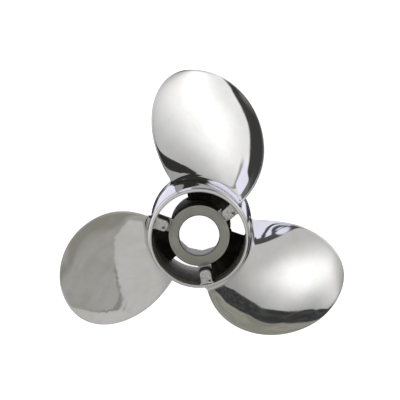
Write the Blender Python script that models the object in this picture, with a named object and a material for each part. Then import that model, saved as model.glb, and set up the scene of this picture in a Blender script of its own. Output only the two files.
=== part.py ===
"""Three-blade left-hand propeller with a through-hub exhaust, standing on its aft ring.

The shaft axis is Z and the front, gearcase end is up. Distances along the shaft are
drops: metres below the plane of the front rim. Angles are degrees about Z from +X.
"""

import math

import bmesh
import bpy
from mathutils import Vector

# Main sizes
TIP_RADIUS = 0.16825
BARREL_LENGTH = 0.1280
BALANCE_DROP = 0.0643
BLADES = 3
SEAM = 0.0003
SEGMENTS = 72

# Barrel: the tube that carries the blades
RIM_INNER_RADIUS = 0.0488
RIM_OUTER_RADIUS = 0.0514
BARREL_RADIUS = 0.0533
WALL_INNER_RADIUS = 0.0484
LIP_DROP = 0.0048
GROOVE_RADIUS = 0.0506
GROOVE_DROPS = (0.0056, 0.0068)
SHOULDER_DROP = 0.0084
COUNTERBORE_DROP = 0.0235
RIM_ROUND = 0.0005

# Diffuser ring: the flared end of the barrel
FLARE_DROP = 0.1085
FLARE_RADIUS = 0.0550
FLARE_INNER_RADIUS = 0.0522
FLARE_STEPS = 6

# Inner hub: thrust flange in front, socket behind it
HUB_RADIUS = 0.0324
HUB_FRONT_DROP = 0.0219
HUB_AFT_DROP = 0.1053
BORE_RADIUS = 0.0211
BORE_CHAMFER = 0.0007
HUB_CHAMFER = 0.0008
FLANGE_DEPTH = 0.0110
SOCKET_SIDES = 12
SOCKET_TURN = 3.0
SOCKET_APOTHEM = 0.0280
SOCKET_CORNER_RADIUS = 0.0288

# Ribs: helical webs between hub and barrel, each ending in a pad at the front
RIB_ANGLE = 40.2
RIB_SWEEP = 61.6
RIB_HALF_WIDTH = 0.0060
RIB_DRAFT = 0.0010
RIB_STRAIGHT_DROP = 0.0260
RIB_AFT_DROP = 0.0830
RIB_STEPS = 16
PAD_DROP = 0.0026
PAD_INNER_RADIUS = 0.0350
PAD_NOSE = 0.0022

# Offset table of the blade: fraction of the tip radius, then the angle and the drop of
# the leading edge, then those of the trailing edge
BLADE_TABLE = (
    (0.310, 38.2, 0.0172, 124.5, 0.1058),
    (0.400, 39.5, 0.0242, 123.7, 0.1048),
    (0.500, 43.0, 0.0320, 122.0, 0.1056),
    (0.600, 48.2, 0.0401, 119.7, 0.1073),
    (0.700, 54.9, 0.0486, 116.6, 0.1087),
    (0.800, 62.8, 0.0585, 112.7, 0.1088),
    (0.900, 72.5, 0.0716, 107.5, 0.1074),
    (0.975, 83.2, 0.0833, 101.0, 0.1045),
    (1.000, 93.8, 0.0963, 93.8, 0.0963),
)
ROOT_THICKNESS = 0.0090
TIP_THICKNESS = 0.0020
EDGE_THICKNESS = 0.0011
CAMBER = 0.030
SPAN_STEPS = 20
CHORD_STEPS = 14
TIP_FLAT = 0.012

STEEL = (0.62, 0.62, 0.60, 1.0)
CAST_STEEL = (0.50, 0.50, 0.47, 1.0)


def clear_scene():
    for old in list(bpy.data.objects):
        bpy.data.objects.remove(old, do_unlink=True)


def height(drop):
    return BALANCE_DROP - drop


def at(radius, degrees, drop):
    turn = math.radians(degrees)
    return Vector((radius * math.cos(turn), radius * math.sin(turn), height(drop)))


def steel(name, color, roughness):
    material = bpy.data.materials.new(name)
    material.use_nodes = True
    shader = material.node_tree.nodes["Principled BSDF"]
    shader.inputs["Base Color"].default_value = color
    shader.inputs["Metallic"].default_value = 1.0
    shader.inputs["Roughness"].default_value = roughness
    return material


def add_solid(name, work, material, sharp_degrees):
    """Make an object of a finished bmesh, with its faces pointing out."""
    bmesh.ops.recalc_face_normals(work, faces=work.faces)
    mesh = bpy.data.meshes.new(name)
    work.to_mesh(mesh)
    work.free()
    mesh.materials.append(material)
    mesh.shade_smooth()
    mesh.set_sharp_from_angle(angle=math.radians(sharp_degrees))
    solid = bpy.data.objects.new(name, mesh)
    bpy.context.scene.collection.objects.link(solid)
    return solid


def bridge(work, first, second):
    """Join two closed loops of as many points with quads."""
    for index in range(len(first)):
        after = (index + 1) % len(first)
        work.faces.new((first[index], first[after], second[after], second[index]))


def cap_with_strip(work, loop):
    """Close a loop whose first half runs along one side and second half back."""
    last = len(loop) - 1
    for index in range(len(loop) // 2 - 1):
        work.faces.new(
            (loop[index], loop[index + 1], loop[last - index - 1], loop[last - index])
        )


def turned(name, profile, material, start=0.0):
    """Turn a closed profile, a function of the angle that gives (radius, drop) points."""
    work = bmesh.new()
    loops = []
    for index in range(SEGMENTS):
        degrees = start + 360.0 * index / SEGMENTS
        loops.append([work.verts.new(at(r, degrees, d)) for r, d in profile(degrees)])
    for index, loop in enumerate(loops):
        bridge(work, loop, loops[(index + 1) % SEGMENTS])
    return add_solid(name, work, material, 35.0)


def lofted(name, sections, material):
    """Loft through the sections and close both ends with strips."""
    work = bmesh.new()
    loops = [[work.verts.new(point) for point in section] for section in sections]
    for index in range(len(loops) - 1):
        bridge(work, loops[index], loops[index + 1])
    cap_with_strip(work, loops[0])
    cap_with_strip(work, loops[-1])
    return add_solid(name, work, material, 40.0)


def barrel_profile(degrees):
    """The rim with its groove, then the plain tube down to the diffuser ring."""
    seam_drop = FLARE_DROP - SEAM
    return (
        (RIM_INNER_RADIUS, RIM_ROUND),
        (RIM_INNER_RADIUS + RIM_ROUND, 0.0),
        (RIM_OUTER_RADIUS - RIM_ROUND, 0.0),
        (RIM_OUTER_RADIUS, RIM_ROUND),
        (RIM_OUTER_RADIUS, LIP_DROP),
        (GROOVE_RADIUS, GROOVE_DROPS[0]),
        (GROOVE_RADIUS, GROOVE_DROPS[1]),
        (BARREL_RADIUS, SHOULDER_DROP),
        (BARREL_RADIUS, seam_drop),
        (WALL_INNER_RADIUS, seam_drop),
        (WALL_INNER_RADIUS, COUNTERBORE_DROP + RIM_ROUND),
        (RIM_INNER_RADIUS, COUNTERBORE_DROP),
    )


def diffuser_profile(degrees):
    """The wall opens out along a smooth curve to the aft rim."""
    outer = []
    inner = []
    for step in range(FLARE_STEPS + 1):
        along = step / FLARE_STEPS
        opening = along * along
        drop = FLARE_DROP + (BARREL_LENGTH - FLARE_DROP) * along
        outer.append((BARREL_RADIUS + (FLARE_RADIUS - BARREL_RADIUS) * opening, drop))
        spread = FLARE_INNER_RADIUS - WALL_INNER_RADIUS
        inner.append((WALL_INNER_RADIUS + spread * opening, drop))
    return outer + inner[::-1]


def hub_profile(degrees):
    """The thrust flange, the bore through it, and the many-sided socket behind."""
    flange_back = HUB_FRONT_DROP + FLANGE_DEPTH
    side = 360.0 / SOCKET_SIDES
    off_flat = math.radians((degrees - SOCKET_TURN) % side - side / 2)
    socket = min(SOCKET_APOTHEM / math.cos(off_flat), SOCKET_CORNER_RADIUS)
    return (
        (HUB_RADIUS, HUB_AFT_DROP),
        (HUB_RADIUS, HUB_FRONT_DROP + HUB_CHAMFER),
        (HUB_RADIUS - HUB_CHAMFER, HUB_FRONT_DROP),
        (BORE_RADIUS + BORE_CHAMFER, HUB_FRONT_DROP),
        (BORE_RADIUS, HUB_FRONT_DROP + BORE_CHAMFER),
        (BORE_RADIUS, flange_back),
        (socket, flange_back),
        (socket, HUB_AFT_DROP),
    )


def rib_section(middle, drop, inner_radius, nose, half_width):
    """One level cut through a rib: its nose, out along one side, back along the other."""
    outer_radius = WALL_INNER_RADIUS - SEAM

    def corner(radius, side):
        return at(radius, middle + side * math.degrees(half_width / radius), drop)

    radii = [inner_radius, (inner_radius + outer_radius) / 2, outer_radius]
    one_side = [corner(radius, -1.0) for radius in radii]
    other_side = [corner(radius, 1.0) for radius in reversed(radii)]
    tip = inner_radius - nose
    return [corner(tip, -0.5)] + one_side + other_side + [corner(tip, 0.5)]


def rib_levels():
    """Drop, inner radius and nose of each level, with a ledge level with the hub."""
    pad = (PAD_INNER_RADIUS + PAD_NOSE, PAD_NOSE)
    web = (HUB_RADIUS + SEAM, 0.0)
    levels = [(PAD_DROP, *pad), (HUB_FRONT_DROP - SEAM, *pad)]
    levels.append((HUB_FRONT_DROP + SEAM, *web))
    for step in range(RIB_STEPS + 1):
        drop = RIB_STRAIGHT_DROP
        drop += (RIB_AFT_DROP - RIB_STRAIGHT_DROP) * step / RIB_STEPS
        levels.append((drop, *web))
    return levels


def rib_turn(drop):
    """The rib runs straight aft from its pad, then turns at an even pitch."""
    along = (drop - RIB_STRAIGHT_DROP) / (RIB_AFT_DROP - RIB_STRAIGHT_DROP)
    return RIB_SWEEP * max(0.0, along)


def build_rib(number, turn, material):
    sections = []
    for drop, inner_radius, nose in rib_levels():
        middle = RIB_ANGLE + turn + rib_turn(drop)
        grown = min(1.0, drop / RIB_STRAIGHT_DROP)
        half_width = RIB_HALF_WIDTH + RIB_DRAFT * grown
        sections.append(rib_section(middle, drop, inner_radius, nose, half_width))
    return lofted("rib_%d" % number, sections, material)


def table_row(fraction):
    """Read the offset table between its rows with a smooth cubic.

    The edges close at the tip as the square root of the distance to it, so that root
    is the variable, and the curve stays even right up to the tip.
    """
    where = math.sqrt(max(0.0, 1.0 - fraction))
    knots = [math.sqrt(1.0 - row[0]) for row in BLADE_TABLE]
    last = len(knots) - 2
    span = next((i for i in range(last + 1) if where >= knots[i + 1]), last)
    low = max(span - 1, 0)
    picked = range(low, min(low + 4, len(knots)))
    if len(picked) < 4:
        picked = range(len(knots) - 4, len(knots))
    values = []
    for column in range(1, 5):
        total = 0.0
        for i in picked:
            weight = 1.0
            for j in picked:
                if i != j:
                    weight *= (where - knots[j]) / (knots[i] - knots[j])
            total += weight * BLADE_TABLE[i][column]
        values.append(total)
    return values


def blade_section(fraction, turn):
    """One section of the blade on a cylinder: along the forward side, back aft."""
    radius = TIP_RADIUS * fraction
    lead_angle, lead_drop, trail_angle, trail_drop = table_row(fraction)
    across = radius * math.radians(trail_angle - lead_angle)
    down = trail_drop - lead_drop
    chord = math.hypot(across, down)
    grown = (1.0 - fraction) / (1.0 - BLADE_TABLE[0][0])
    thickest = TIP_THICKNESS + (ROOT_THICKNESS - TIP_THICKNESS) * grown
    forward = []
    aft = []
    for step in range(CHORD_STEPS + 1):
        x = (1.0 - math.cos(math.pi * step / CHORD_STEPS)) / 2
        arch = 4.0 * x * (1.0 - x)
        half = EDGE_THICKNESS / 2 + (thickest - EDGE_THICKNESS) / 2 * arch ** 0.75
        for side, offset in ((forward, half), (aft, -half)):
            lift = CAMBER * chord * arch + offset
            degrees = lead_angle + (trail_angle - lead_angle) * x
            degrees += math.degrees(lift * down / chord / radius)
            drop = lead_drop + down * x - lift * across / chord
            side.append(at(radius, degrees + turn, drop))
    return forward + aft[::-1]


def build_blade(number, turn, material):
    root = math.sqrt(1.0 - (BARREL_RADIUS + SEAM) / TIP_RADIUS)
    sections = []
    for step in range(SPAN_STEPS + 1):
        where = root + (TIP_FLAT - root) * step / SPAN_STEPS
        sections.append(blade_section(1.0 - where * where, turn))
    return lofted("blade_%d" % number, sections, material)


def build_propeller():
    clear_scene()
    turned("outer_barrel", barrel_profile, steel("barrel_steel", STEEL, 0.12))
    turned("diffuser_ring", diffuser_profile, steel("ring_steel", STEEL, 0.10))
    turned("inner_hub", hub_profile, steel("hub_steel", CAST_STEEL, 0.38), SOCKET_TURN)
    for number in range(1, BLADES + 1):
        turn = -360.0 / BLADES * (number - 1)
        build_rib(number, turn, steel("rib_%d_steel" % number, CAST_STEEL, 0.50))
        build_blade(number, turn, steel("blade_%d_steel" % number, STEEL, 0.08))


build_propeller()
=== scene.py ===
"""The looks of a polished three-blade boat propeller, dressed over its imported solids.

Metres throughout. The shaft axis is Z with the front, gearcase end up. A drop is a
distance below the plane of the front rim, and angles are degrees about Z from +X.
"""

import math
from collections import namedtuple

import bpy
import numpy as np
from mathutils import Matrix, Vector


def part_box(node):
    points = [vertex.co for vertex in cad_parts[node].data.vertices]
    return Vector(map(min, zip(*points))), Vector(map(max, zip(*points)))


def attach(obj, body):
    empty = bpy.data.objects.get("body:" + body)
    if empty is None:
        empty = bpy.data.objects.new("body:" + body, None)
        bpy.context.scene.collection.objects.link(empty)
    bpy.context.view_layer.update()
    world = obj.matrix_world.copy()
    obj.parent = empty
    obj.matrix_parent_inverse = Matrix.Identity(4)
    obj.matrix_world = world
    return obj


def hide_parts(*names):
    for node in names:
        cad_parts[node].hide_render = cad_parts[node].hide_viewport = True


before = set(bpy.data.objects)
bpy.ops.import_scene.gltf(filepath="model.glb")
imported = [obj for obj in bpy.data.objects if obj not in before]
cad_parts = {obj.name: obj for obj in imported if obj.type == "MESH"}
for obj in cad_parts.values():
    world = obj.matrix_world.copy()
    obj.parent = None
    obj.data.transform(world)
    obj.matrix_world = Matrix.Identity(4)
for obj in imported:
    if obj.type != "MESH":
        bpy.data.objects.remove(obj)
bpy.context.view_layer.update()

# Sizes that all the pieces share, and the turns of the three blades and ribs
TIP_RADIUS = 0.16825
BARREL_LENGTH = 0.1280
FRONT_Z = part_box("outer_barrel")[1].z
AFT_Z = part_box("diffuser_ring")[0].z
TURNS = (0.0, -120.0, -240.0)

# Barrel and diffuser ring. The inner wall runs straight down to the taper and opens
# behind it. Faces within the margin of the wall are dull. The flare opens for the most
# part at its very end, by the share given.
RIM_INNER_RADIUS = 0.0488
RIM_OUTER_RADIUS = 0.0514
BARREL_RADIUS = 0.0533
WALL_INNER_RADIUS = 0.0484
LIP_DROP = 0.0048
GROOVE_RADIUS = 0.0506
GROOVE_DROPS = (0.0058, 0.0068)
SHOULDER_DROP = 0.0084
STEP_DROP = 0.0235
STEP_BEVEL = 0.0006
FLARE_DROP = 0.1085
FLARE_RADIUS = 0.0550
FLARE_END_SHARE = 0.65
TAPER_DROP = 0.0830
TAPER_END_RADIUS = 0.0502
TAPER_END_DROP = 0.1215
FLARE_INNER_RADIUS = 0.0522
WALL_MARGIN = 0.0006

# Inner hub. Its front face is turned down to the face's depth, and dull behind that.
HUB_RADIUS = 0.0324
HUB_FRONT_DROP = 0.0219
HUB_AFT_DROP = 0.1053
BORE_RADIUS = 0.0211
FACE_DEPTH = 0.0005
FLANGE_DEPTH = 0.0110
SOCKET_SIDES = 12
SOCKET_TURN = 3.0
SOCKET_APOTHEM = 0.0280
SOCKET_CORNER_RADIUS = 0.0288
SOCKET_ROUNDING = 0.0004

# Ribs with their pads. The first rib stands at the angle and swings round by the sweep
# between its straight front and its aft end. The pad's nose is round, so it leads the
# inner radius a little, and its foot spreads on the hub's face.
RIB_ANGLE = 40.2
RIB_SWEEP = 61.6
RIB_HALF_WIDTH = 0.0060
RIB_DRAFT = 0.0010
RIB_STRAIGHT_DROP = 0.0260
RIB_AFT_DROP = 0.0830
RIB_END_ROUND = 0.0015
PAD_DROP = 0.0026
PAD_INNER_RADIUS = 0.0350
PAD_NOSE = 0.0054
PAD_NOSE_LEAD = 0.0012
PAD_EDGE = 0.0009
PAD_FILLET = 0.0032
PAD_FOOT_DEPTH = 0.0003
PAD_FOOT_REACH = 0.0004
PAD_SIDE_DROPS = (0.0050, 0.0100, 0.0160, 0.0200, 0.0212)
RIB_FILLET = 0.0022
RIB_FILLET_START = 0.0010

# Middle and half size of small dark spots on the pads: painted shade for shallow hollows that the
# pads' shape does not have
PAD_HOLLOW_SHADES = (
    ((-0.0366, 0.0112, FRONT_Z - PAD_DROP), 0.0019),
    ((0.0360, 0.0262, FRONT_Z - PAD_DROP), 0.0019),
    ((0.0112, -0.0443, FRONT_Z - PAD_DROP), 0.0018),
)

# Offset table of the blade: fraction of the tip radius, then the angle and the drop of
# the leading edge, then those of the trailing edge
BLADE_TABLE = (
    (0.310, 38.2, 0.0172, 124.5, 0.1058),
    (0.400, 39.5, 0.0242, 123.7, 0.1048),
    (0.500, 43.0, 0.0320, 122.0, 0.1056),
    (0.600, 48.2, 0.0401, 119.7, 0.1073),
    (0.700, 54.9, 0.0486, 116.6, 0.1087),
    (0.800, 62.8, 0.0585, 112.7, 0.1088),
    (0.900, 72.5, 0.0716, 107.5, 0.1074),
    (0.975, 83.2, 0.0833, 101.0, 0.1045),
    (1.000, 93.8, 0.0963, 93.8, 0.0963),
)

# Thickness of the blade. An edge is rounded over its reach, and near the tip it takes
# at most its share of the chord. The fullness is the power of the thickness curve.
ROOT_THICKNESS = 0.0090
TIP_THICKNESS = 0.0020
EDGE_THICKNESS = 0.0013
EDGE_REACH = 0.0020
EDGE_SHARE = 0.3
FULLNESS = 0.75
CAMBER = 0.030
ROOT_FILLET = 0.0065

# How far a piece reaches into its neighbour, so that no gap shows between them
SUNK = 0.0002
SUNK_IN_RIM = 0.0003
SUNK_ROOT = 0.0001

# How finely the meshes are cut. The last cut of a blade is given as the root of the
# fraction of the radius that it leaves to the tip.
TURNED_SEGMENTS = 240
CORNER_STEPS = 5
ROUND_STEPS = 5
FLARE_STEPS = 12
RIB_SIDE_POINTS = 33
RIB_WEB_LEVELS = 30
CHORD_POINTS = 97
EDGE_POINTS = 11
ROOT_CUTS = 10
BLADE_CUTS = 120
LAST_CUT = 0.012
SHARP_DEGREES = 40.0
BLADE_SHARP_DEGREES = 60.0

# Camera, placed by where the front rim stands in a frame of 400 pixels
FRAME_PIXELS = 400.0
METRES_PER_PIXEL = 0.0010362
RIM_PIXEL = (198.70, 238.80)
CAMERA_PIXELS = 2300.0
VIEW_TILT = 8.0
VIEW_TILT_TOWARDS = -98.35
SENSOR_WIDTH = 36.0
CAMERA_RANGE = 50.0

# Studio: the white ground, and the lamp as a bearing, a polar angle and the degrees
# over which its light falls off
FLOOR_HALF = 4.0
FLOOR_GAP = 0.0002
LAMP = (-56.0, 49.5)
LAMP_REACH = 60.0

DEGREES = 180.0 / math.pi


def gray(level, warm=0.0):
    """A near grey, warmer or (below zero) cooler by the given part."""
    return (level * (1.0 + warm), level, level * (1.0 - warm), 1.0)


def direction(bearing, polar):
    """The unit vector of a bearing and a polar angle, as the studio measures them."""
    turn = math.radians(bearing)
    lean = math.radians(polar)
    return Vector(
        (-math.sin(turn) * math.sin(lean), math.cos(turn) * math.sin(lean), math.cos(lean))
    )


class Value:
    """A socket of a node tree that reads as a number in plain arithmetic."""

    def __init__(self, tree, socket):
        self.tree = tree
        self.socket = socket

    def __add__(self, other):
        return self.tree.maths("ADD", self, other)

    def __radd__(self, other):
        return self.tree.maths("ADD", other, self)

    def __sub__(self, other):
        return self.tree.maths("SUBTRACT", self, other)

    def __rsub__(self, other):
        return self.tree.maths("SUBTRACT", other, self)

    def __mul__(self, other):
        return self.tree.maths("MULTIPLY", self, other)

    def __rmul__(self, other):
        return self.tree.maths("MULTIPLY", other, self)

    def __truediv__(self, other):
        return self.tree.maths("DIVIDE", self, other)


class Tree:
    """A node tree, made one node at a time."""

    def __init__(self, nodes_of):
        self.nodes = nodes_of.nodes
        self.links = nodes_of.links

    def node(self, kind, settings=None, sockets=None, output=0):
        """Add a node: its settings first, then the values or links of its sockets."""
        made = self.nodes.new(kind)
        for name, value in (settings or {}).items():
            if name == "stops":
                self.set_stops(made.color_ramp, value)
            else:
                setattr(made, name, value)
        for name, value in (sockets or {}).items():
            if isinstance(value, Value):
                self.links.new(value.socket, made.inputs[name])
            else:
                made.inputs[name].default_value = value
        return Value(self, made.outputs[output]) if len(made.outputs) else made

    def set_stops(self, ramp, stops):
        """Fill a colour ramp with stops of a place and a grey."""
        while len(ramp.elements) < len(stops):
            ramp.elements.new(1.0)
        for element, (place, level) in zip(ramp.elements, stops):
            element.position = place
            element.color = gray(level)

    def ramp(self, value, stops):
        return self.node("ShaderNodeValToRGB", {"stops": stops}, {0: value})

    def maths(self, operation, *values):
        settings = {"operation": operation}
        return self.node("ShaderNodeMath", settings, dict(enumerate(values)))

    def rise(self, value, low, high):
        """0 below low and 1 above high, with a soft step between them."""
        sockets = {"Value": value, "From Min": low, "From Max": high}
        return self.node("ShaderNodeMapRange", {"interpolation_type": "SMOOTHSTEP"}, sockets)

    def fall(self, value, low, high):
        """1 below low and 0 above high, with a soft step between them."""
        return self.rise(value, high, low)

    def band(self, value, low, high, soft):
        """1 between low and high, with soft steps outwards."""
        return self.rise(value, low - soft, low) * self.fall(value, high, high + soft)

    def past(self, value, start):
        """How far a value has come past the start, or 0 before it."""
        return self.maths("MAXIMUM", value - start, 0.0)

    def at_most(self, value, top):
        return self.maths("MINIMUM", value, top)

    def either(self, first, second):
        """The larger of two covers."""
        return self.maths("MAXIMUM", first, second)

    def mix(self, factor, first, second):
        """Blend two colours."""
        return self.node(
            "ShaderNodeMix", {"data_type": "RGBA"}, {0: factor, 6: first, 7: second}, output=2
        )

    def noise(self, place, scale, detail=2.0, rough=0.5, distortion=0.0):
        sockets = {
            "Vector": place,
            "Scale": scale,
            "Detail": detail,
            "Roughness": rough,
            "Distortion": distortion,
        }
        return self.node("ShaderNodeTexNoise", None, sockets)

    def split(self, vector):
        """The X, Y and Z of a vector."""
        first = self.node("ShaderNodeSeparateXYZ", None, {"Vector": vector})
        return [Value(self, output) for output in first.socket.node.outputs]

    def join(self, x=0.0, y=0.0, z=0.0):
        """The vector of an X, a Y and a Z."""
        return self.node("ShaderNodeCombineXYZ", None, {"X": x, "Y": y, "Z": z})


class Finish(Tree):
    """The material of one kind of surface, with the part's own coordinates at hand."""

    def __init__(self, name):
        self.material = bpy.data.materials.new(name)
        self.material.use_nodes = True
        super().__init__(self.material.node_tree)
        self.shader = self.nodes["Principled BSDF"]
        self.place = self.node("ShaderNodeTexCoord", output=3)
        self.x, self.y, self.z = self.split(self.place)
        self.radius = self.maths("SQRT", self.x * self.x + self.y * self.y)
        self.drop = FRONT_Z - self.z

    def attribute(self, name):
        return self.node("ShaderNodeAttribute", {"attribute_name": name}, output=2)

    def bump(self, height, distance, under=None):
        """Relief of that many metres, over the relief under it."""
        sockets = {"Height": height, "Distance": distance, "Strength": 1.0}
        if under is not None:
            sockets["Normal"] = under
        return self.node("ShaderNodeBump", None, sockets)

    def surface(self, **sockets):
        """Set or link the shader's sockets, each named in small letters."""
        for name, value in sockets.items():
            socket = self.shader.inputs[name.replace("_", " ").title().replace("Ior", "IOR")]
            if isinstance(value, Value):
                self.links.new(value.socket, socket)
            else:
                socket.default_value = value
        return self.material


def mirror_steel():
    """Hand-buffed stainless steel: soft waves, faint tints and wiping haze, with painted shade
    along the blade's root.
    """
    finish = Finish("mirror_steel")
    place = finish.place
    buffed = gray(0.82, 0.004)
    warm = (0.815, 0.785, 0.755, 1.0)
    green = (0.785, 0.80, 0.745, 1.0)
    wiped = gray(0.60, 0.03)
    root_shade = gray(0.13, -0.02)
    waves = finish.noise(place, 22.0, detail=1.0)
    orange_peel = finish.noise(place, 140.0)
    stretched = finish.node(
        "ShaderNodeMapping",
        {"vector_type": "POINT"},
        {"Vector": place, "Rotation": (0.0, 0.0, -0.35), "Scale": (0.30, 1.0, 0.6)},
    )
    streaks = finish.noise(stretched, 75.0, detail=5.0, rough=0.62, distortion=0.6)
    clouds = finish.noise(place, 34.0, detail=6.0, rough=0.62, distortion=0.4)
    tint = finish.noise(place, 26.0, detail=5.0, rough=0.65, distortion=0.5)
    # Painted shade: a dark line along the root, where the blade meets the barrel.
    root = finish.fall(finish.radius, BARREL_RADIUS + 0.0003, BARREL_RADIUS + 0.0011)
    color = finish.mix(finish.rise(tint, 0.52, 0.64) * 0.7, buffed, warm)
    color = finish.mix(finish.fall(tint, 0.38, 0.48) * 0.7, color, green)
    color = finish.mix(finish.rise(clouds, 0.42, 0.66) * 0.13, color, wiped)
    color = finish.mix(finish.rise(streaks, 0.50, 0.66) * 0.06, color, wiped)
    color = finish.mix(root * 0.55, color, root_shade)
    rough = 0.035 + 0.035 * finish.rise(clouds, 0.40, 0.70)
    normal = finish.bump(waves, 0.00026)
    normal = finish.bump(orange_peel, 0.000008, normal)
    return finish.surface(base_color=color, metallic=1.0, roughness=rough, normal=normal)


def barrel_steel():
    """Polished outside and ground on the front rim, with painted shade: darker on the rim's low
    side, an olive band along its inner edge, and dark in the groove behind it.
    """
    finish = Finish("barrel_steel")
    radius = finish.radius
    drop = finish.drop
    polished = gray(0.70, 0.01)
    stained = gray(0.60, 0.02)
    turned_line = gray(0.34, -0.02)
    rim_above = gray(0.60, 0.01)
    rim_shaded = gray(0.44, 0.01)
    inner_shade_olive = (0.30, 0.30, 0.255, 1.0)
    groove_shade = gray(0.10, 0.02)
    ground = finish.fall(drop, 0.0003, 0.0006)
    # Painted shade: the groove behind the rim is dark.
    groove = finish.fall(radius, GROOVE_RADIUS + 0.0007, GROOVE_RADIUS + 0.0016)
    groove_start, groove_end = GROOVE_DROPS
    groove = groove * finish.band(drop, groove_start - 0.0004, groove_end + 0.0003, 0.0003)
    # Painted shade: the ground rim is darker on its low side.
    low_side_shade = finish.fall(finish.y, -0.046, -0.020)
    # Painted shade: a dark olive band along the rim's inner edge, away from its low side.
    inner_shade = finish.fall(radius, RIM_INNER_RADIUS + 0.0008, RIM_INNER_RADIUS + 0.0013)
    inner_shade = inner_shade * (1.0 - low_side_shade) * finish.fall(drop, 0.0040, 0.0050)
    stain = finish.noise(finish.place, 60.0, detail=4.0, rough=0.6)
    turned = finish.noise(finish.join(x=drop, y=radius * 0.5), 330.0, detail=5.0, rough=0.8)
    color = finish.mix(finish.rise(stain, 0.5, 0.7) * 0.2, polished, stained)
    color = finish.mix(finish.rise(turned, 0.50, 0.62) * 0.22, color, turned_line)
    color = finish.mix(ground, color, finish.mix(low_side_shade, rim_above, rim_shaded))
    color = finish.mix(inner_shade * 0.85, color, inner_shade_olive)
    color = finish.mix(groove * 0.8, color, groove_shade)
    rings = finish.noise(finish.join(x=radius * 40.0, z=drop), 60.0, detail=3.0)
    rough = 0.05 + 0.05 * stain + 0.17 * ground + 0.25 * groove
    normal = finish.bump(rings * ground, 0.00004)
    return finish.surface(base_color=color, metallic=1.0, roughness=rough, normal=normal)


def cast_wall():
    """Dull and dark: the cast walls inside, where only some light falls. Painted light marks some
    of them: the barrel's wall grows paler further in, pale highlight strips run on the hub's
    outside, and a dark line of shade lies at the wall's step.

    It covers the barrel's inner wall, the hub's outside and the bore and socket in it.
    """
    finish = Finish("cast_wall")
    radius = finish.radius
    drop = finish.drop
    cast_dark = gray(0.060, 0.16)
    cast_pale = gray(0.110, 0.18)
    strip_highlight = (0.34, 0.32, 0.26, 1.0)
    wall_front = (0.22, 0.21, 0.165, 1.0)
    wall_aft_sheen = (0.48, 0.465, 0.37, 1.0)
    wall_grain = gray(0.12, 0.09)
    step_shade = gray(0.02, 0.08)
    bore_pale = (0.38, 0.37, 0.30, 1.0)
    bore_dark = (0.16, 0.155, 0.12, 1.0)
    in_hub = finish.fall(radius, SOCKET_CORNER_RADIUS + 0.0003, SOCKET_CORNER_RADIUS + 0.0006)
    on_barrel = finish.rise(radius, WALL_INNER_RADIUS - 0.0015, WALL_INNER_RADIUS - 0.0005)
    deep = finish.rise(drop, 0.034, 0.062) * finish.rise(radius, 0.0300, 0.0310)
    grain = finish.noise(finish.place, 110.0, detail=6.0, rough=0.65)
    down_shaft = finish.join(z=drop)
    tool_marks = finish.noise(down_shaft, 1100.0, detail=4.0, rough=0.7)
    # Painted highlights: pale strips down the hub's outside, deep in the barrel.
    highlight_strips = finish.noise(down_shaft, 90.0, detail=4.0, rough=0.7)
    highlight_strips = (0.25 + 0.6 * finish.rise(highlight_strips, 0.42, 0.56)) * deep
    # Painted reflection: the barrel's inner wall grows paler further in, as if it mirrored the
    # bright ground.
    wall = finish.mix(finish.rise(drop, 0.012, 0.075), wall_front, wall_aft_sheen)
    wall = finish.mix(finish.rise(grain, 0.42, 0.62) * 0.40, wall, wall_grain)
    # Painted shade: a dark line at the step in the barrel's inner wall.
    step = finish.band(drop, STEP_DROP - 0.0002, STEP_DROP + 0.0008, 0.0004)
    marks = finish.mix(finish.rise(tool_marks, 0.42, 0.62), bore_pale, bore_dark)
    color = finish.mix(finish.rise(grain, 0.35, 0.7), cast_dark, cast_pale)
    color = finish.mix(highlight_strips, color, strip_highlight)
    color = finish.mix(on_barrel, color, wall)
    color = finish.mix(step * on_barrel * 0.7, color, step_shade)
    color = finish.mix(in_hub, color, marks)
    rough = 0.62 - 0.20 * in_hub
    metal = 0.6 * finish.either(finish.either(in_hub, on_barrel), highlight_strips)
    normal = finish.bump(grain, 0.00012)
    normal = finish.bump(tool_marks * in_hub, 0.00005, normal)
    finish.surface(base_color=color, metallic=metal, roughness=rough, normal=normal)
    return finish.surface(specular_ior_level=0.18)


def turned_steel():
    """The hub's face, cut on a lathe, with its rings and painted shade as a dark line at each
    edge.
    """
    finish = Finish("turned_steel")
    radius = finish.radius
    satin = (0.265, 0.265, 0.230, 1.0)
    brown = (0.25, 0.23, 0.19, 1.0)
    worn = gray(0.33, 0.03)
    ring_dark = gray(0.17, 0.05)
    edge_shade = gray(0.045, 0.06)
    rings = finish.noise(finish.join(x=radius, y=radius * 0.37), 900.0, detail=4.0, rough=0.7)
    blotch = finish.noise(finish.place, 48.0, detail=5.0, rough=0.6)
    # Painted shade: dark lines along the face's inner and outer edges.
    edge = 1.0 - finish.band(radius, BORE_RADIUS + 0.0010, HUB_RADIUS - 0.0007, 0.0003)
    color = finish.mix(finish.rise(blotch, 0.52, 0.66) * 0.7, satin, brown)
    color = finish.mix(finish.fall(blotch, 0.36, 0.50) * 0.5, color, worn)
    color = finish.mix(finish.rise(rings, 0.52, 0.60) * 0.40, color, ring_dark)
    color = finish.mix(edge * 0.8, color, edge_shade)
    rough = 0.34 + 0.12 * (blotch - 0.5)
    normal = finish.bump(rings, 0.00006)
    return finish.surface(base_color=color, metallic=1.0, roughness=rough, normal=normal)


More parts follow.
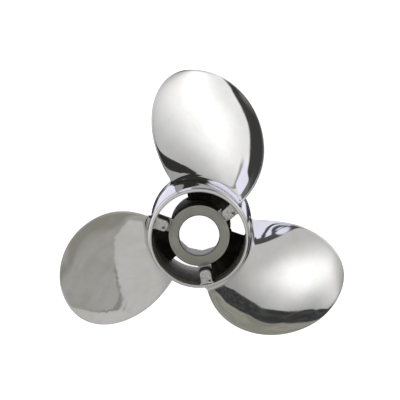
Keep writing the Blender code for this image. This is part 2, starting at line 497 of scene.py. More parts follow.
def cast_steel():
    """Left as cast and blasted, with painted light and shade: pale on the faces that look up, dark
    down the sides over cast scale.
    """
    finish = Finish("cast_steel")
    place = finish.place
    blasted_dark = gray(0.36, 0.04)
    blasted_pale = gray(0.56, 0.03)
    pit_dark = gray(0.14, 0.08)
    hollow_shade = gray(0.05, 0.10)
    scale_and_shade_brown = (0.030, 0.022, 0.014, 1.0)
    scale_and_shade_pale = gray(0.05, 0.12)
    # Painted light and shade: faces that look up are pale, and the sides are dark, mixed with cast
    # scale.
    open_face = finish.attribute("open_face")
    grain = finish.noise(place, 420.0, detail=5.0, rough=0.6)
    lumps = finish.noise(place, 90.0, detail=3.0, rough=0.55)
    cells = {"Vector": place, "Scale": 330.0}
    pits = finish.node("ShaderNodeTexVoronoi", {"feature": "F1"}, cells)
    pitted = finish.fall(pits, 0.10, 0.26) * finish.rise(lumps, 0.46, 0.56)
    pale = finish.mix(finish.rise(grain, 0.35, 0.65), blasted_dark, blasted_pale)
    pale = finish.mix(pitted * 0.75, pale, pit_dark)
    # Painted shade: dark spots where the pads would have shallow hollows.
    for hollow, size in PAD_HOLLOW_SHADES:
        ends = {0: place, 1: hollow}
        off = finish.node("ShaderNodeVectorMath", {"operation": "DISTANCE"}, ends, output=1)
        off = off + (grain - 0.5) * 0.004
        pale = finish.mix(finish.fall(off, size * 0.3, size * 1.25) * 0.9, pale, hollow_shade)
    # The sides' dark colour is painted shade as well as cast scale.
    scale = finish.mix(finish.rise(lumps, 0.40, 0.62), scale_and_shade_brown, scale_and_shade_pale)
    color = finish.mix(open_face, scale, pale)
    rough = 0.62 - 0.20 * open_face + 0.14 * (grain - 0.5)
    metal = 0.25 + 0.60 * open_face
    normal = finish.bump(lumps, 0.00035)
    normal = finish.bump(grain, 0.00005, normal)
    normal = finish.bump(1.0 - pitted, 0.00025, normal)
    return finish.surface(base_color=color, metallic=metal, roughness=rough, normal=normal)


def turned_points(radius, degrees, drop):
    """The points at a radius, an angle and a drop, of which each may be an array."""
    turn = np.radians(degrees)
    return np.stack(
        np.broadcast_arrays(radius * np.cos(turn), radius * np.sin(turn), FRONT_Z - drop),
        axis=-1,
    )


def eased(count):
    """Numbers from 0 to 1 that stand closer towards both ends."""
    return (1.0 - np.cos(np.pi * np.linspace(0.0, 1.0, count))) / 2


def quarter(along):
    """How far a quarter circle of radius 1 stands off the line that it runs into.

    It is 1 at the start, and 0 from a distance of 1 along the line.
    """
    return 1.0 - np.sqrt(1.0 - (1.0 - np.clip(along, 0.0, 1.0)) ** 2)


def smooth(mesh, sharp_degrees=SHARP_DEGREES):
    """Shade a mesh smooth, but for edges sharper than the given angle."""
    mesh.shade_smooth()
    mesh.set_sharp_from_angle(angle=math.radians(sharp_degrees))


def new_mesh(name, points, faces, sharp_degrees=SHARP_DEGREES):
    mesh = bpy.data.meshes.new(name)
    mesh.from_pydata(points.reshape(-1, 3).tolist(), [], faces)
    mesh.validate()
    smooth(mesh, sharp_degrees)
    return mesh


def new_piece(name, mesh):
    """Set a mesh in the scene under its name."""
    mesh.name = name
    piece = bpy.data.objects.new(name, mesh)
    bpy.context.scene.collection.objects.link(piece)
    return piece


def wall_faces(rows, columns, closed_rows=False):
    """Quads between rings of points, each ring closed on itself."""
    faces = []
    for i in range(rows if closed_rows else rows - 1):
        for j in range(columns):
            after_i = (i + 1) % rows
            after_j = (j + 1) % columns
            faces.append(
                (
                    i * columns + j,
                    i * columns + after_j,
                    after_i * columns + after_j,
                    after_i * columns + j,
                )
            )
    return faces


def cap_faces(first, count, start):
    """Close a ring by joining its two sides like a zip that runs from point start."""
    faces = []
    for k in range(count // 2):
        quad = [start + k, start + k + 1, start - k - 1, start - k]
        quad = [first + point % count for point in quad]
        faces.append(list(dict.fromkeys(quad)))
    return faces


def flipped(faces):
    return [face[::-1] for face in faces]


def rounded(corners, steps=CORNER_STEPS):
    """A closed outline of (radius, drop, rounding) corners, with each corner an arc."""
    outline = []
    count = len(corners)
    for k in range(count):
        here = np.array(corners[k][:2])
        before = np.array(corners[k - 1][:2]) - here
        after = np.array(corners[(k + 1) % count][:2]) - here
        reach = corners[k][2]
        if reach <= 0.0:
            outline.append(here)
            continue
        start = here + before / np.linalg.norm(before) * reach
        end = here + after / np.linalg.norm(after) * reach
        for s in range(steps + 1):
            t = s / steps
            outline.append((1 - t) ** 2 * start + 2 * t * (1 - t) * here + t * t * end)
    return np.array(outline)


def barrel_outline():
    """The front rim and its groove, the tube, and the flare of the diffuser ring."""
    outer = [
        (RIM_INNER_RADIUS, PAD_DROP, 0.0002),
        (RIM_INNER_RADIUS, 0.0, 0.0003),
        (RIM_OUTER_RADIUS, 0.0, 0.0004),
        (RIM_OUTER_RADIUS, LIP_DROP, 0.0003),
        (GROOVE_RADIUS, GROOVE_DROPS[0], 0.0003),
        (GROOVE_RADIUS, GROOVE_DROPS[1], 0.0003),
        (BARREL_RADIUS, SHOULDER_DROP, 0.0006),
    ]
    for k in range(FLARE_STEPS + 1):
        along = k / FLARE_STEPS
        drop = FLARE_DROP + (BARREL_LENGTH - FLARE_DROP) * along
        lip = (1.0 - FLARE_END_SHARE) * along**2 + FLARE_END_SHARE * along**10
        outer.append((BARREL_RADIUS + (FLARE_RADIUS - BARREL_RADIUS) * lip, drop, 0.0))
    outer[-1] = (FLARE_RADIUS, BARREL_LENGTH, 0.0006)
    inner = [
        (FLARE_INNER_RADIUS, BARREL_LENGTH, 0.0006),
        (TAPER_END_RADIUS, TAPER_END_DROP, 0.0040),
        (WALL_INNER_RADIUS, TAPER_DROP, 0.0080),
        (WALL_INNER_RADIUS, STEP_DROP + STEP_BEVEL, 0.0002),
        (RIM_INNER_RADIUS, STEP_DROP, 0.0002),
    ]
    return rounded(outer + inner)


def socket_radius(degrees):
    """Flat sides, which pass softly into the round of the corners."""
    side = 360.0 / SOCKET_SIDES
    off_flat = math.radians((degrees - SOCKET_TURN) % side - side / 2)
    flat = SOCKET_APOTHEM / math.cos(off_flat)
    gap = SOCKET_CORNER_RADIUS - flat
    return flat + (gap - math.hypot(gap, SOCKET_ROUNDING)) / 2 + SOCKET_ROUNDING / 4


def hub_outline(degrees):
    """The hub's cut at an angle. The angle matters only for the socket's flat sides."""
    back = HUB_FRONT_DROP + FLANGE_DEPTH
    socket = socket_radius(degrees)
    return rounded(
        [
            (HUB_RADIUS, HUB_AFT_DROP, 0.0005),
            (HUB_RADIUS, HUB_FRONT_DROP, 0.0009),
            (BORE_RADIUS, HUB_FRONT_DROP, 0.0006),
            (BORE_RADIUS, back, 0.0004),
            (socket, back, 0.0008),
            (socket, HUB_AFT_DROP, 0.0006),
        ]
    )


def hub_mesh():
    rings = []
    for k in range(TURNED_SEGMENTS):
        degrees = SOCKET_TURN + 360.0 * k / TURNED_SEGMENTS
        outline = hub_outline(degrees)
        rings.append(turned_points(outline[:, 0], degrees, outline[:, 1]))
    points = np.array(rings)
    faces = wall_faces(TURNED_SEGMENTS, points.shape[1], closed_rows=True)
    return new_mesh("hub", points, flipped(faces))


def rib_outline(inner, outer, nose, half_width, fillet_in, fillet_out):
    """Radius and sideways reach of one side of a rib's level cut, from hub to wall."""
    radius = inner + (outer - inner) * eased(RIB_SIDE_POINTS)
    reach = np.full_like(radius, half_width)
    if nose > 0.0:
        reach = half_width - nose * quarter((radius - inner) / nose)
    for edge, fillet in ((inner, fillet_in), (outer, fillet_out)):
        if fillet > 0.0:
            reach = reach + fillet * quarter(np.abs(radius - edge) / fillet)
    return radius, reach


# One level cut of a rib: its drop, its inner radius, the length of its round nose, its fillet at
# the hub, how far it is set in and how pale it is, as painted light on faces that look up
Level = namedtuple("Level", "drop inner nose fillet sink pale", defaults=(0.0,) * 4)


def rib_levels():
    """The level cuts of a rib: the pad, its foot on the hub's face, the web and its end."""
    pad = PAD_INNER_RADIUS - PAD_NOSE_LEAD
    levels = []
    for k in range(ROUND_STEPS + 1):
        turn = math.pi / 2 * k / ROUND_STEPS
        drop = PAD_DROP + PAD_EDGE * (1.0 - math.cos(turn))
        sink = PAD_EDGE * (1.0 - math.sin(turn))
        # Painted light: the pad's top, which looks up, is pale, fading over its rounded edge.
        pale = 1.0 - 0.5 * k / ROUND_STEPS
        levels.append(Level(drop, pad, PAD_NOSE, sink=sink, pale=pale))
    for drop in PAD_SIDE_DROPS:
        levels.append(Level(drop, pad, PAD_NOSE))
    web = HUB_RADIUS - SUNK
    ledge = HUB_FRONT_DROP + SUNK
    # Painted light also on the pad's foot, the ledge on the hub's face and the start of the
    # fillet.
    levels.append(Level(ledge - PAD_FOOT_DEPTH, pad - PAD_FOOT_REACH, PAD_NOSE, pale=0.6))
    levels.append(Level(ledge, web, pale=1.0))
    levels.append(Level(ledge + RIB_FILLET_START, web, fillet=RIB_FILLET * 0.6, pale=0.4))
    end = RIB_AFT_DROP - RIB_END_ROUND
    for drop in np.linspace(RIB_STRAIGHT_DROP, end, RIB_WEB_LEVELS):
        levels.append(Level(drop, web, fillet=RIB_FILLET))
    for k in range(1, ROUND_STEPS + 1):
        turn = math.pi / 2 * k / ROUND_STEPS
        drop = end + RIB_END_ROUND * math.sin(turn)
        sink = RIB_END_ROUND * (1.0 - math.cos(turn))
        levels.append(Level(drop, web, fillet=RIB_FILLET, sink=sink))
    return levels


def rib_mesh():
    """A rib with its pad, as level cuts that swing round with the drop."""
    rings = []
    paleness = []
    for level in rib_levels():
        along = (level.drop - RIB_STRAIGHT_DROP) / (RIB_AFT_DROP - RIB_STRAIGHT_DROP)
        middle = RIB_ANGLE + RIB_SWEEP * max(0.0, along)
        draft = RIB_DRAFT * min(1.0, level.drop / RIB_STRAIGHT_DROP)
        half_width = RIB_HALF_WIDTH + draft - level.sink
        outer = WALL_INNER_RADIUS + SUNK
        fillet = RIB_FILLET
        if level.drop < STEP_DROP:
            outer = RIM_INNER_RADIUS + SUNK_IN_RIM
            fillet = PAD_FILLET
        radius, reach = rib_outline(
            level.inner + level.sink, outer, level.nose, half_width, level.fillet, fillet
        )
        swing = np.degrees(reach / radius)
        one = turned_points(radius, middle - swing, level.drop)
        other = turned_points(radius[::-1], middle + swing[::-1], level.drop)
        rings.append(np.concatenate([one, other]))
        paleness += [level.pale] * (2 * len(radius))
    points = np.array(rings)
    rows, columns = points.shape[:2]
    faces = flipped(wall_faces(rows, columns))
    faces += cap_faces(0, columns, columns // 2 - 1)
    faces += flipped(cap_faces((rows - 1) * columns, columns, columns // 2 - 1))
    mesh = new_mesh("rib", points, faces)
    # The paleness is painted light and shade: pale on faces that look up, dark down the sides.
    mesh.attributes.new("open_face", "FLOAT", "POINT").data.foreach_set("value", paleness)
    return mesh


def spline_bends(knots, values):
    """Second derivatives of the smooth cubic spline through the values at the knots."""
    count = len(knots)
    step = np.diff(knots)
    slope = np.diff(values, axis=0) / step[:, None]
    matrix = np.zeros((count, count))
    right = np.zeros(values.shape)
    for i in range(1, count - 1):
        matrix[i, i - 1 : i + 2] = (step[i - 1], 2.0 * (step[i - 1] + step[i]), step[i])
        right[i] = 6.0 * (slope[i] - slope[i - 1])
    matrix[0, :3] = (step[1], -step[0] - step[1], step[0])
    matrix[-1, -3:] = (step[-1], -step[-1] - step[-2], step[-2])
    return np.linalg.solve(matrix, right)


# The edges close at the tip as the square root of the distance to it, so that root is
# the variable of the spline, and the curve stays even right up to the tip
BLADE_KNOTS = np.sqrt(1.0 - np.array(BLADE_TABLE)[::-1, 0])
BLADE_VALUES = np.array(BLADE_TABLE)[::-1, 1:]
BLADE_BENDS = spline_bends(BLADE_KNOTS, BLADE_VALUES)


def table_row(fraction):
    """Read the offset table between its rows."""
    where = math.sqrt(1.0 - fraction)
    i = int(np.searchsorted(BLADE_KNOTS, where)) - 1
    step = BLADE_KNOTS[i + 1] - BLADE_KNOTS[i]
    a = (BLADE_KNOTS[i + 1] - where) / step
    b = 1.0 - a
    bend = (a**3 - a) * BLADE_BENDS[i] + (b**3 - b) * BLADE_BENDS[i + 1]
    return a * BLADE_VALUES[i] + b * BLADE_VALUES[i + 1] + bend * step**2 / 6.0


def blade_section(radius, flare):
    """A closed cut through the blade on a cylinder, with round edges.

    Returns angle and drop of points that run over the forward side to the trailing
    edge, round it, back along the aft side, and round the leading edge. The flare
    widens the cut all round, as the root fillet does.
    """
    fraction = radius / TIP_RADIUS
    lead_angle, lead_drop, trail_angle, trail_drop = table_row(fraction)
    across = radius * math.radians(trail_angle - lead_angle)
    down = trail_drop - lead_drop
    chord = math.hypot(across, down)
    from_tip = (1.0 - fraction) / (1.0 - BLADE_TABLE[0][0])
    thickest = TIP_THICKNESS + (ROOT_THICKNESS - TIP_THICKNESS) * from_tip
    edge = min(EDGE_THICKNESS / 2, chord * EDGE_SHARE)
    reach = min(EDGE_REACH, chord * EDGE_SHARE)
    near_tip = (radius - (TIP_RADIUS - EDGE_REACH)) / EDGE_REACH
    close = math.sqrt(max(0.0, 1.0 - max(0.0, near_tip) ** 2))
    x = eased(CHORD_POINTS)
    arch = 4.0 * x * (1.0 - x)
    half = (edge + (thickest / 2 - edge) * arch**FULLNESS) * close
    bend = CAMBER * chord * arch
    c = reach + (chord - 2 * reach) * x
    turn = np.linspace(0.0, np.pi, EDGE_POINTS + 2)[1:-1]
    round_edge = edge * close * np.cos(turn)
    trail = np.stack([chord - reach + reach * np.sin(turn), round_edge], 1)
    lead = np.stack([reach - reach * np.sin(turn), -round_edge], 1)
    loop = np.concatenate(
        [
            np.stack([c, bend + half], 1),
            trail,
            np.stack([c, bend - half], 1)[::-1],
            lead,
        ]
    )
    if flare > 0.0:
        ahead = np.roll(loop, -1, 0) - np.roll(loop, 1, 0)
        ahead /= np.linalg.norm(ahead, axis=1)[:, None]
        loop = loop + flare * np.stack([-ahead[:, 1], ahead[:, 0]], 1)
    along = loop[:, 0] / chord
    lift = loop[:, 1]
    degrees = lead_angle + (trail_angle - lead_angle) * along
    degrees = degrees + np.degrees(lift * down / chord / radius)
    drop = lead_drop + down * along - lift * across / chord
    return degrees, drop


def blade_radii():
    """Radii of the blade's cuts: through the root fillet, then closer towards the tip."""
    radii = [BARREL_RADIUS - SUNK_ROOT]
    for k in range(ROOT_CUTS + 1):
        turn = math.pi / 2 * k / ROOT_CUTS
        radii.append(BARREL_RADIUS + ROOT_FILLET * (1.0 - math.cos(turn)))
    above = math.sqrt(1.0 - radii[-1] / TIP_RADIUS)
    where = np.linspace(above, LAST_CUT, BLADE_CUTS)[1:]
    return radii + list(TIP_RADIUS * (1.0 - where**2))


def blade_mesh():
    """A blade with its root fillet, as cuts on cylinders from the barrel to the tip."""
    rings = []
    for radius in blade_radii():
        flare = ROOT_FILLET * quarter((radius - BARREL_RADIUS) / ROOT_FILLET)
        degrees, drop = blade_section(radius, flare)
        rings.append(turned_points(radius, degrees, drop))
    points = np.array(rings)
    rows, columns = points.shape[:2]
    zip_start = CHORD_POINTS + EDGE_POINTS // 2
    faces = flipped(wall_faces(rows, columns))
    faces += cap_faces(0, columns, zip_start)
    faces += flipped(cap_faces((rows - 1) * columns, columns, zip_start))
    return new_mesh("blade", points, faces, BLADE_SHARP_DEGREES)


def geometry_tree(name, inputs):
    """A geometry node group with its named inputs, its Tree and its input values."""
    group = bpy.data.node_groups.new(name, "GeometryNodeTree")
    group.interface.new_socket("Geometry", in_out="INPUT", socket_type="NodeSocketGeometry")
    for label, kind in inputs:
        group.interface.new_socket(label, in_out="INPUT", socket_type=kind)
    group.interface.new_socket("Geometry", in_out="OUTPUT", socket_type="NodeSocketGeometry")
    tree = Tree(group)
    entry = group.nodes.new("NodeGroupInput")
    values = {socket.name: Value(tree, socket) for socket in entry.outputs if socket.name}
    return group, tree, values


def close_tree(tree, geometry, material):
    """End a group in plain geometry of one material."""
    real = tree.node("GeometryNodeRealizeInstances", None, {"Geometry": geometry})
    painted = tree.node("GeometryNodeSetMaterial", None, {"Geometry": real, "Material": material})
    tree.node("NodeGroupOutput", None, {"Geometry": painted})


def lathe_tree():
    """Turns a closed outline, drawn in X and Y from the swing radius, about Z."""
    group, tree, given = geometry_tree(
        "turn_about_shaft",
        (
            ("Segments", "NodeSocketInt"),
            ("Swing radius", "NodeSocketFloat"),
            ("Material", "NodeSocketMaterial"),
        ),
    )
    outline = tree.node("GeometryNodeMeshToCurve", None, {"Mesh": given["Geometry"]})
    circle = tree.node(
        "GeometryNodeCurvePrimitiveCircle",
        {"mode": "RADIUS"},
        {"Resolution": given["Segments"], "Radius": given["Swing radius"]},
    )
    body = tree.node(
        "GeometryNodeCurveToMesh", None, {"Curve": circle, "Profile Curve": outline}
    )
    close_tree(tree, body, given["Material"])
    return group


def repeat_tree():
    """Sets a copy of a blade or a rib at its turn about the shaft."""
    group, tree, given = geometry_tree(
        "set_round_shaft", (("Turn", "NodeSocketFloat"), ("Material", "NodeSocketMaterial"))
    )
    turn = tree.join(z=given["Turn"])
    point = tree.node("GeometryNodeMeshLine", None, {"Count": 1})
    placed = tree.node(
        "GeometryNodeInstanceOnPoints",
        None,
        {"Points": point, "Instance": given["Geometry"], "Rotation": turn},
    )
    close_tree(tree, placed, given["Material"])
    return group


def grown(name, group, mesh, values):
    """Run a geometry tree on a mesh and keep the plain result as a piece."""
    maker = bpy.data.objects.new("maker", mesh)
    bpy.context.scene.collection.objects.link(maker)
    modifier = maker.modifiers.new("tree", "NODES")
    modifier.node_group = group
    for item in group.interface.items_tree:
        if item.name in values:
            modifier[item.identifier] = values[item.name]
    graph = bpy.context.evaluated_depsgraph_get()
    result = bpy.data.meshes.new_from_object(maker.evaluated_get(graph))
    bpy.data.objects.remove(maker)
    return new_piece(name, result)


def dull_within(piece, material, is_dull):
    """Give the faces whose middle radius and drop are dull a second material."""
    piece.data.materials.append(material)
    for face in piece.data.polygons:
        middle = face.center
        if is_dull(math.hypot(middle.x, middle.y), FRONT_Z - middle.z):
            face.material_index = 1


def make_barrel(material, wall_material):
    swing = (BARREL_RADIUS + WALL_INNER_RADIUS) / 2
    outline = barrel_outline()
    count = len(outline)
    points = [(radius - swing, drop - FRONT_Z, 0.0) for radius, drop in outline]
    drawn = bpy.data.meshes.new("barrel_outline")
    drawn.from_pydata(points, [(k, (k + 1) % count) for k in range(count)], [])
    piece = grown(
        "barrel_and_ring",
        lathe_tree(),
        drawn,
        {"Segments": TURNED_SEGMENTS, "Swing radius": swing, "Material": material},
    )
    smooth(piece.data)
    dull_within(piece, wall_material, lambda r, drop: drop > PAD_DROP and r < near_wall(drop))
    return piece


def near_wall(drop):
    """A radius just outside the barrel's inner wall at a drop."""
    drops = (TAPER_DROP, TAPER_END_DROP, BARREL_LENGTH)
    radii = (RIM_INNER_RADIUS, TAPER_END_RADIUS, FLARE_INNER_RADIUS)
    return WALL_MARGIN + np.interp(drop, drops, radii)


def make_hub(material, wall_material):
    piece = new_piece("hub_turned", hub_mesh())
    piece.data.materials.append(material)
    dull_within(piece, wall_material, lambda r, drop: drop > HUB_FRONT_DROP + FACE_DEPTH)
    return piece


def dress(piece, slot, *nodes):
    """Let a piece stand in for its nodes. Its slot is not used."""
    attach(piece, "root")
    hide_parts(*nodes)


def set_camera():
    """Look down the shaft, tilted a little, with the rim where the frame needs it."""
    towards = math.radians(VIEW_TILT_TOWARDS)
    tilt = Matrix.Rotation(
        math.radians(VIEW_TILT), 4, Vector((-math.sin(towards), math.cos(towards), 0.0))
    )
    middle = FRAME_PIXELS / 2
    rim = Vector((RIM_PIXEL[0] - middle, middle - RIM_PIXEL[1], -CAMERA_PIXELS))
    place = tilt.inverted() @ (-rim * METRES_PER_PIXEL) + Vector((0.0, 0.0, FRONT_Z))
    camera = bpy.data.cameras.new("camera")
    camera.sensor_width = SENSOR_WIDTH
    camera.lens = SENSOR_WIDTH * CAMERA_PIXELS / FRAME_PIXELS
    camera.clip_end = CAMERA_RANGE
    viewer = bpy.data.objects.new("camera", camera)
    viewer.matrix_world = Matrix.Translation(place) @ tilt.inverted()
    bpy.context.scene.collection.objects.link(viewer)
    bpy.context.scene.camera = viewer


def make_floor():
    """A white ground that only the camera sees. The steel mirrors the studio's paper."""
    half = FLOOR_HALF
    z = AFT_Z - FLOOR_GAP
    corners = np.array([(-half, -half, z), (half, -half, z), (half, half, z), (-half, half, z)])
    floor = new_piece("studio_floor", new_mesh("floor", corners, [(0, 1, 2, 3)]))
    ground = Finish("white_ground")
    ground.surface(
        base_color=gray(0.5), roughness=0.9, emission_color=gray(1.0), emission_strength=1.0
    )
    ground.surface(specular_ior_level=0.0)
    clear = ground.node("ShaderNodeBsdfTransparent")
    seen = ground.node("ShaderNodeLightPath")
    lit = Value(ground, ground.shader.outputs[0])
    shown = ground.node("ShaderNodeMixShader", None, {0: seen, 1: clear, 2: lit})
    ground.links.new(shown.socket, ground.nodes["Material Output"].inputs["Surface"])
    floor.data.materials.append(ground.material)


class Studio(Tree):
    """The light round the propeller, drawn on the sky by bearing and polar angle.

    A bearing runs from the top of the picture, positive to its left, and a polar
    angle runs from straight up. Both are in degrees.
    """

    def __init__(self):
        world = bpy.data.worlds.new("studio")
        world.use_nodes = True
        bpy.context.scene.world = world
        super().__init__(world.node_tree)
        self.away = self.node("ShaderNodeTexCoord", output=0)
        self.x, self.y, self.z = self.split(self.away)
        self.wobble = self.noise(self.away, 7.0, detail=3.0) - 0.5
        self.ripple = self.noise(self.away, 26.0, detail=3.0) - 0.5
        self.bearing = self.maths("ARCTAN2", -1.0 * self.x, self.y) * DEGREES
        self.low_bearing = self.maths("ARCTAN2", self.x, -1.0 * self.y) * DEGREES
        self.polar = self.maths("ARCCOSINE", self.z) * DEGREES
        self.light = None

    def lay(self, cover, color):
        """Set a light or a flag before what is there, where cover is 1."""
        self.light = self.mix(cover, self.light, color)

    def patch(self, bearings, polars):
        """1 in a field of bearings and polar angles, each given as low, high and soft."""
        return self.band(self.bearing, *bearings) * self.band(self.polar, *polars)

    def round_lamp(self):
        """A soft lamp high on the right, fading into a grey room."""
        beam = {0: self.away, 1: direction(*LAMP)}
        along = self.node("ShaderNodeVectorMath", {"operation": "DOT_PRODUCT"}, beam, output=1)
        off_lamp = self.maths("ARCCOSINE", along) * DEGREES
        self.light = self.ramp(
            off_lamp / LAMP_REACH,
            (
                (0.00, 1.45), (0.14, 1.29), (0.20, 1.11), (0.26, 0.91), (0.32, 0.74),
                (0.40, 0.60), (0.50, 0.47), (0.60, 0.38), (1.00, 0.33),
            ),
        )
        haze = self.rise(self.polar, 56.0, 76.0) * self.rise(self.bearing, -100.0, -45.0)
        self.lay(haze, gray(0.59, 0.014))

    def white_box(self):
        """A large soft box on the left, fading down to the horizon, with a grey seam."""
        box = self.ramp(
            self.polar / 180.0,
            (
                (0.00, 0.90), (0.20, 1.25), (0.28, 1.38), (0.31, 1.30), (0.335, 1.16),
                (0.36, 1.02), (0.39, 0.84), (0.42, 0.69), (0.46, 0.58), (0.50, 0.51),
            ),
        )
        dimmer = self.fall(self.bearing, 32.0, 64.0) * self.fall(self.polar, 62.0, 76.0)
        box = self.mix(dimmer * 0.30, box, gray(0.2))
        self.lay(self.rise(self.bearing, -22.0, -4.0) * self.fall(self.bearing, 94.0, 114.0), box)
        seam = self.bearing + 0.12 * (self.polar - 50.0) + self.wobble * 2.0
        seam = self.band(seam, 28.2, 30.8, 2.8) * self.rise(self.polar, 46.0, 52.0)
        self.lay(seam * 0.72, gray(0.17, -0.04))

    def gray_wall(self):
        """The wall at the lower left, paler under a ragged line."""
        clouds = self.rise(self.noise(self.away, 4.0, distortion=0.3), 0.32, 0.66)
        wall = self.rise(self.bearing, 108.0, 120.0) + self.fall(self.bearing, -160.0, -142.0)
        self.lay(wall, self.mix(clouds, (0.35, 0.35, 0.325, 1.0), (0.415, 0.41, 0.39, 1.0)))
        hook = self.at_most(self.past(self.low_bearing, 9.0), 9.0)
        line = self.polar - 66.0 - 0.26 * self.past(self.low_bearing, -23.0)
        line = line - 0.05 * hook * hook + self.ripple * 2.6
        below = self.band(self.low_bearing, -40.0, 60.0, 5.0) * self.rise(line, -0.1, 0.7)
        self.lay(below, self.mix(clouds, (0.54, 0.535, 0.52, 1.0), (0.57, 0.565, 0.56, 1.0)))
        ragged = self.band(line, -0.35, 0.0, 0.35) * self.band(self.low_bearing, 2.0, 20.0, 12.0)
        self.lay(ragged * 0.7, gray(0.17, 0.02))
        shade = self.band(self.bearing + self.wobble * 8.0, 126.0, 141.0, 8.0)
        self.lay(shade * self.fall(self.polar, 61.0, 66.0) * 0.65, (0.235, 0.225, 0.19, 1.0))

    def overhead(self):
        """Pale straight up, with a charcoal flag and a small white card below it."""
        self.lay(self.fall(self.polar, 20.0, 32.0), gray(0.85))
        low_edge = self.polar + 0.10 * self.bearing + self.ripple * 2.0
        left_edge = self.bearing + 0.9 * (self.polar - 40.0) + self.wobble * 3.0
        flag = self.fall(low_edge, 51.2, 52.4) * self.fall(left_edge, 25.8, 29.0)
        flag = flag * self.rise(self.polar, 20.0, 33.0) * self.rise(self.bearing, -30.0, -14.0)
        worn = self.band(self.bearing, -30.0, 9.0, 3.0) * self.rise(self.polar, 42.0, 50.0)
        self.lay(flag, self.mix(worn, gray(0.050), gray(0.10)))
        beside = self.rise(self.bearing, -30.0, -12.0) * self.fall(self.bearing, 10.0, 12.5)
        beside = beside * self.rise(self.polar, 48.0, 51.0) * self.fall(self.polar, 58.0, 64.0)
        self.lay(beside, gray(0.17))
        card = self.band(self.bearing, 12.0, 27.5, 1.5) * self.band(low_edge, 51.5, 65.0, 1.2)
        self.lay(card, (0.93, 0.93, 1.10, 1.0))

    def dark_post(self):
        """A dark upright at the lower right that bends away as it comes down."""
        post = self.bearing + 0.06 * (self.polar - 53.0) + self.wobble * 2.5
        post = post + 0.55 * self.past(self.polar, 66.0)
        left_edge = post - 1.1 * self.past(51.0 - self.polar, 0.0)
        right_edge = post + self.at_most(0.6 * self.past(self.polar, 50.0), 6.0)
        reach = self.rise(self.polar, 34.0, 42.0) * self.fall(self.polar, 72.0, 84.0)
        streak = self.rise(self.noise(self.away, 9.0, distortion=0.5), 0.36, 0.64)
        olive = self.mix(streak, (0.23, 0.233, 0.195, 1.0), (0.33, 0.33, 0.28, 1.0))
        self.lay(self.band(post, -134.0, -107.0, 3.0) * reach * 0.85, olive)
        ink = self.mix(self.rise(self.ripple, -0.06, 0.12), gray(0.042, -0.02), gray(0.072, -0.02))
        upright = self.rise(right_edge, -110.0, -108.6) * self.fall(left_edge, -97.6, -96.2)
        self.lay(upright * reach, ink)

    def paper(self):
        """White paper under the propeller, lilac where it is lit and dark in its shadow."""
        self.lay(self.rise(self.polar, 92.0, 112.0), gray(0.40, -0.01))
        lit = self.rise(self.polar, 89.0, 92.0) * self.band(self.bearing, -40.0, 22.0, 7.0)
        far_side = self.rise(self.polar, 70.5, 72.5) * self.band(self.bearing, -28.5, -8.0, 1.5)
        self.lay(self.either(lit, far_side), (0.88, 0.88, 1.03, 1.0))
        self.lay(self.rise(self.polar, 134.0, 160.0), (0.88, 0.88, 1.02, 1.0))
        shadow = self.rise(self.wobble * 0.05 - self.y, 0.075, 0.100)
        self.lay(shadow * self.rise(self.polar, 148.0, 162.0), gray(0.045))
        aside = self.maths("ABSOLUTE", self.bearing)
        below = self.band(aside, 60.0, 104.0, 8.0) * self.band(self.polar, 136.0, 160.0, 3.0)
        under_left = self.patch((64.0, 90.0, 3.0), (95.0, 136.0, 4.0))
        under_right = self.patch((-84.0, -66.0, 3.0), (97.0, 124.0, 4.0))
        self.lay(self.either(below, under_left + under_right), gray(0.03))

    def past_the_paper(self):
        """What stands dark at the paper's far edge, and the streaks that it draws."""
        left_edge = self.at_most(0.80 * self.polar - 89.0, -24.5) + self.wobble * 3.0
        right_edge = self.bearing + 0.25 * (self.polar - 83.0)
        knot = self.rise(left_edge - self.bearing, 0.0, 1.0) * self.rise(right_edge, -32.8, -31.4)
        knot = knot * self.band(self.polar, 75.0, 94.5, 1.2)
        upper = self.polar - 80.2 - 0.45 * (self.bearing + 25.0) + self.ripple * 3.0
        upper = self.band(upper, -0.8, 0.8, 0.5) * self.band(self.bearing, -27.0, -18.5, 1.5)
        lower = self.polar - 87.2 - 0.15 * (self.bearing + 20.0) + self.ripple * 3.0
        lower = self.band(lower, -1.1, 1.1, 0.6) * self.band(self.bearing, -26.0, -13.0, 1.5)
        streaks = self.either(upper, lower)
        self.lay(self.either(knot, streaks) * 0.96, gray(0.050, -0.03))
        leg = self.bearing + 0.77 * (self.polar - 106.5)
        leg = self.band(leg, -47.0, -40.0, 2.0) * self.band(self.polar, 95.0, 124.0, 2.0)
        self.lay(leg * 0.9, gray(0.05, -0.02))
        pit = self.patch((31.0, 86.0, 5.0), (105.0, 128.0, 5.0))
        ragged = self.polar + self.wobble * 4.0 - 0.33 * (self.bearing - 88.0)
        edge = self.fall(ragged, 96.0, 97.5) * self.band(self.bearing, 86.0, 124.0, 3.0)
        edge = edge * self.band(self.polar + self.ripple * 2.0, 91.8, 134.0, 0.8)
        self.lay(self.either(pit, edge), gray(0.035))

    def finish(self):
        """Light the part with all this, while the camera sees plain white past it."""
        seen = self.node("ShaderNodeLightPath")
        self.lay(seen, gray(1.0))
        self.links.new(self.light.socket, self.nodes["Background"].inputs["Color"])
        bpy.context.scene.view_settings.view_transform = "Standard"


def make_studio():
    studio = Studio()
    studio.round_lamp()
    studio.white_box()
    studio.gray_wall()
    studio.overhead()
    studio.dark_post()
    studio.paper()
    studio.past_the_paper()
    studio.finish()


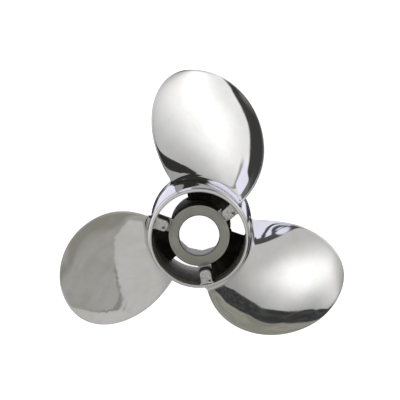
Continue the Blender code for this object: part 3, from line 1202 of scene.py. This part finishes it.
def main():
    set_camera()
    make_floor()
    make_studio()
    mirror = mirror_steel()
    cast = cast_steel()
    wall = cast_wall()
    barrel = make_barrel(barrel_steel(), wall)
    dress(barrel, "polished_barrel", "outer_barrel", "diffuser_ring")
    dress(make_hub(turned_steel(), wall), "turned_hub", "inner_hub")
    round_shaft = repeat_tree()
    one_rib = rib_mesh()
    one_blade = blade_mesh()
    for number, degrees in enumerate(TURNS, 1):
        turn = math.radians(degrees)
        values = {"Turn": turn, "Material": cast}
        rib = grown("rib_%d_cast" % number, round_shaft, one_rib, values)
        dress(rib, "cast_web", "rib_%d" % number)
        values = {"Turn": turn, "Material": mirror}
        blade = grown("blade_%d_polished" % number, round_shaft, one_blade, values)
        dress(blade, "mirror_blade", "blade_%d" % number)


main()
